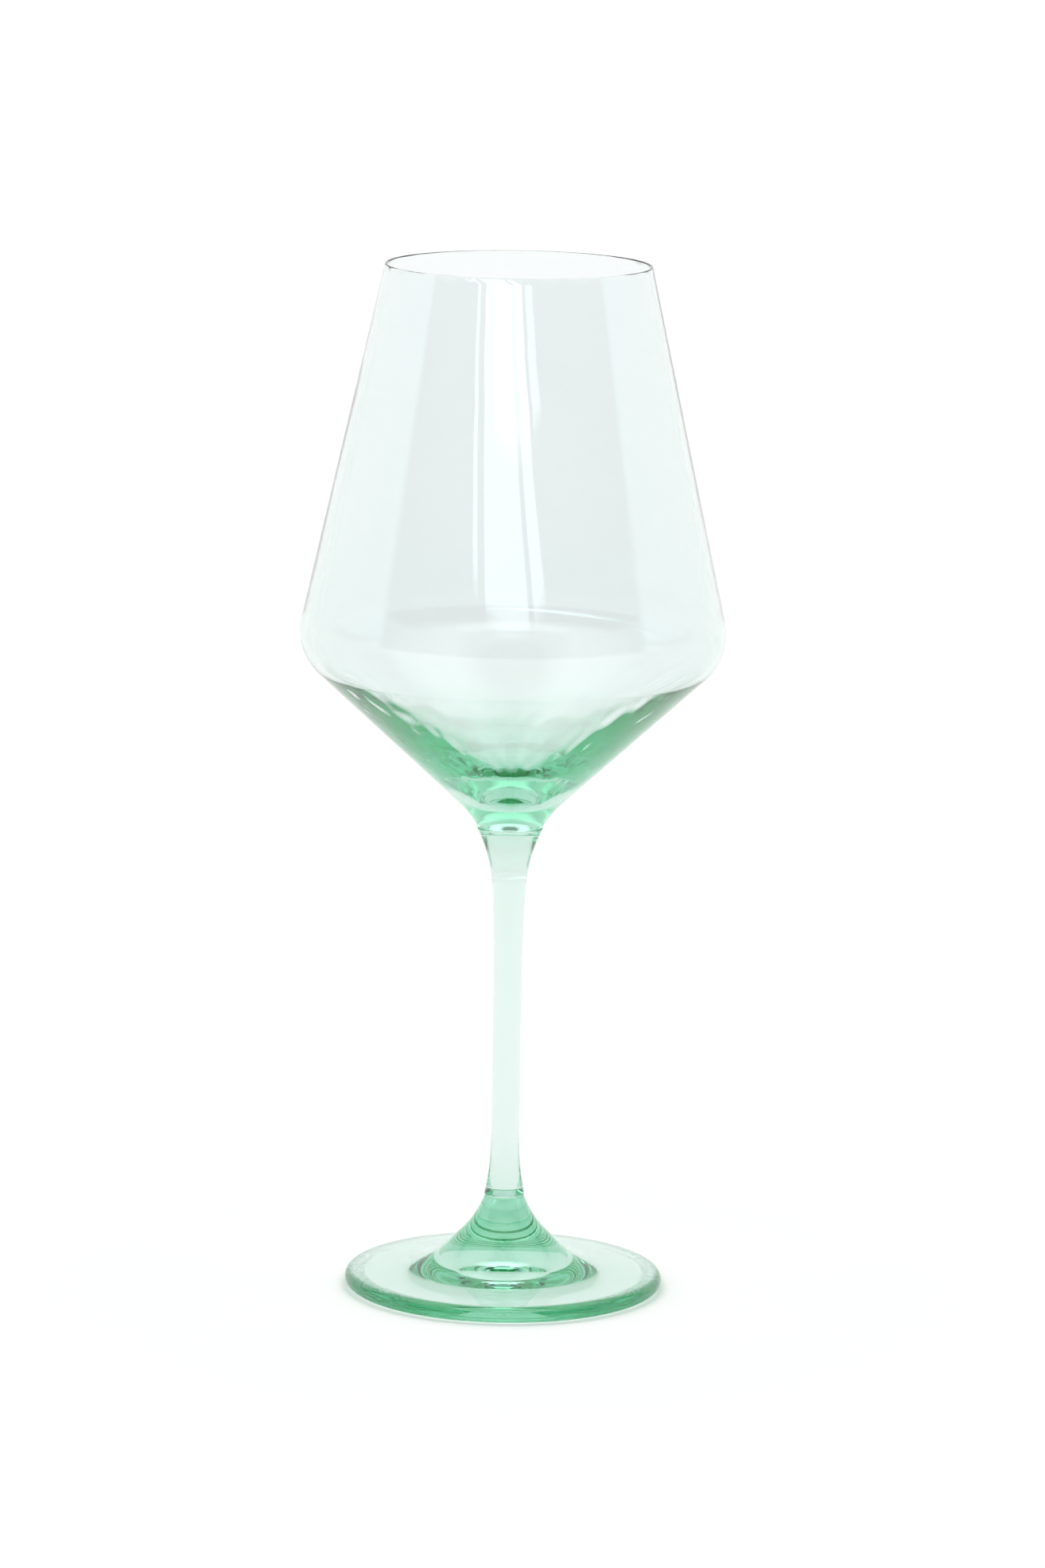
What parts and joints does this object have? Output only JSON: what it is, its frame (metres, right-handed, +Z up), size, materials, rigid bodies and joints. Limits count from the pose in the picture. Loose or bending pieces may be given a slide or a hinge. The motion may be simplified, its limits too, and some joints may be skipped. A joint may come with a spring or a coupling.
{
  "type": "wine glass",
  "caption": "Stemmed wine glass in pale green glass, with an angular bowl, a drawn stem and a round foot.",
  "frame": {"origin": "centre of the ring that the foot rests on, in the plane of the table", "axes": "+Z up along the axis of revolution, from the foot to the rim; X and Y lie in the plane of the table"},
  "size_m": [0.0938, 0.0938, 0.229],
  "materials": {
    "green_glass": "fire-polished, uniform pale green tint"
  },
  "bodies": {
    "root": {"bowl": "green_glass", "stem": "green_glass", "foot": "green_glass"}
  },
  "joints": []
}
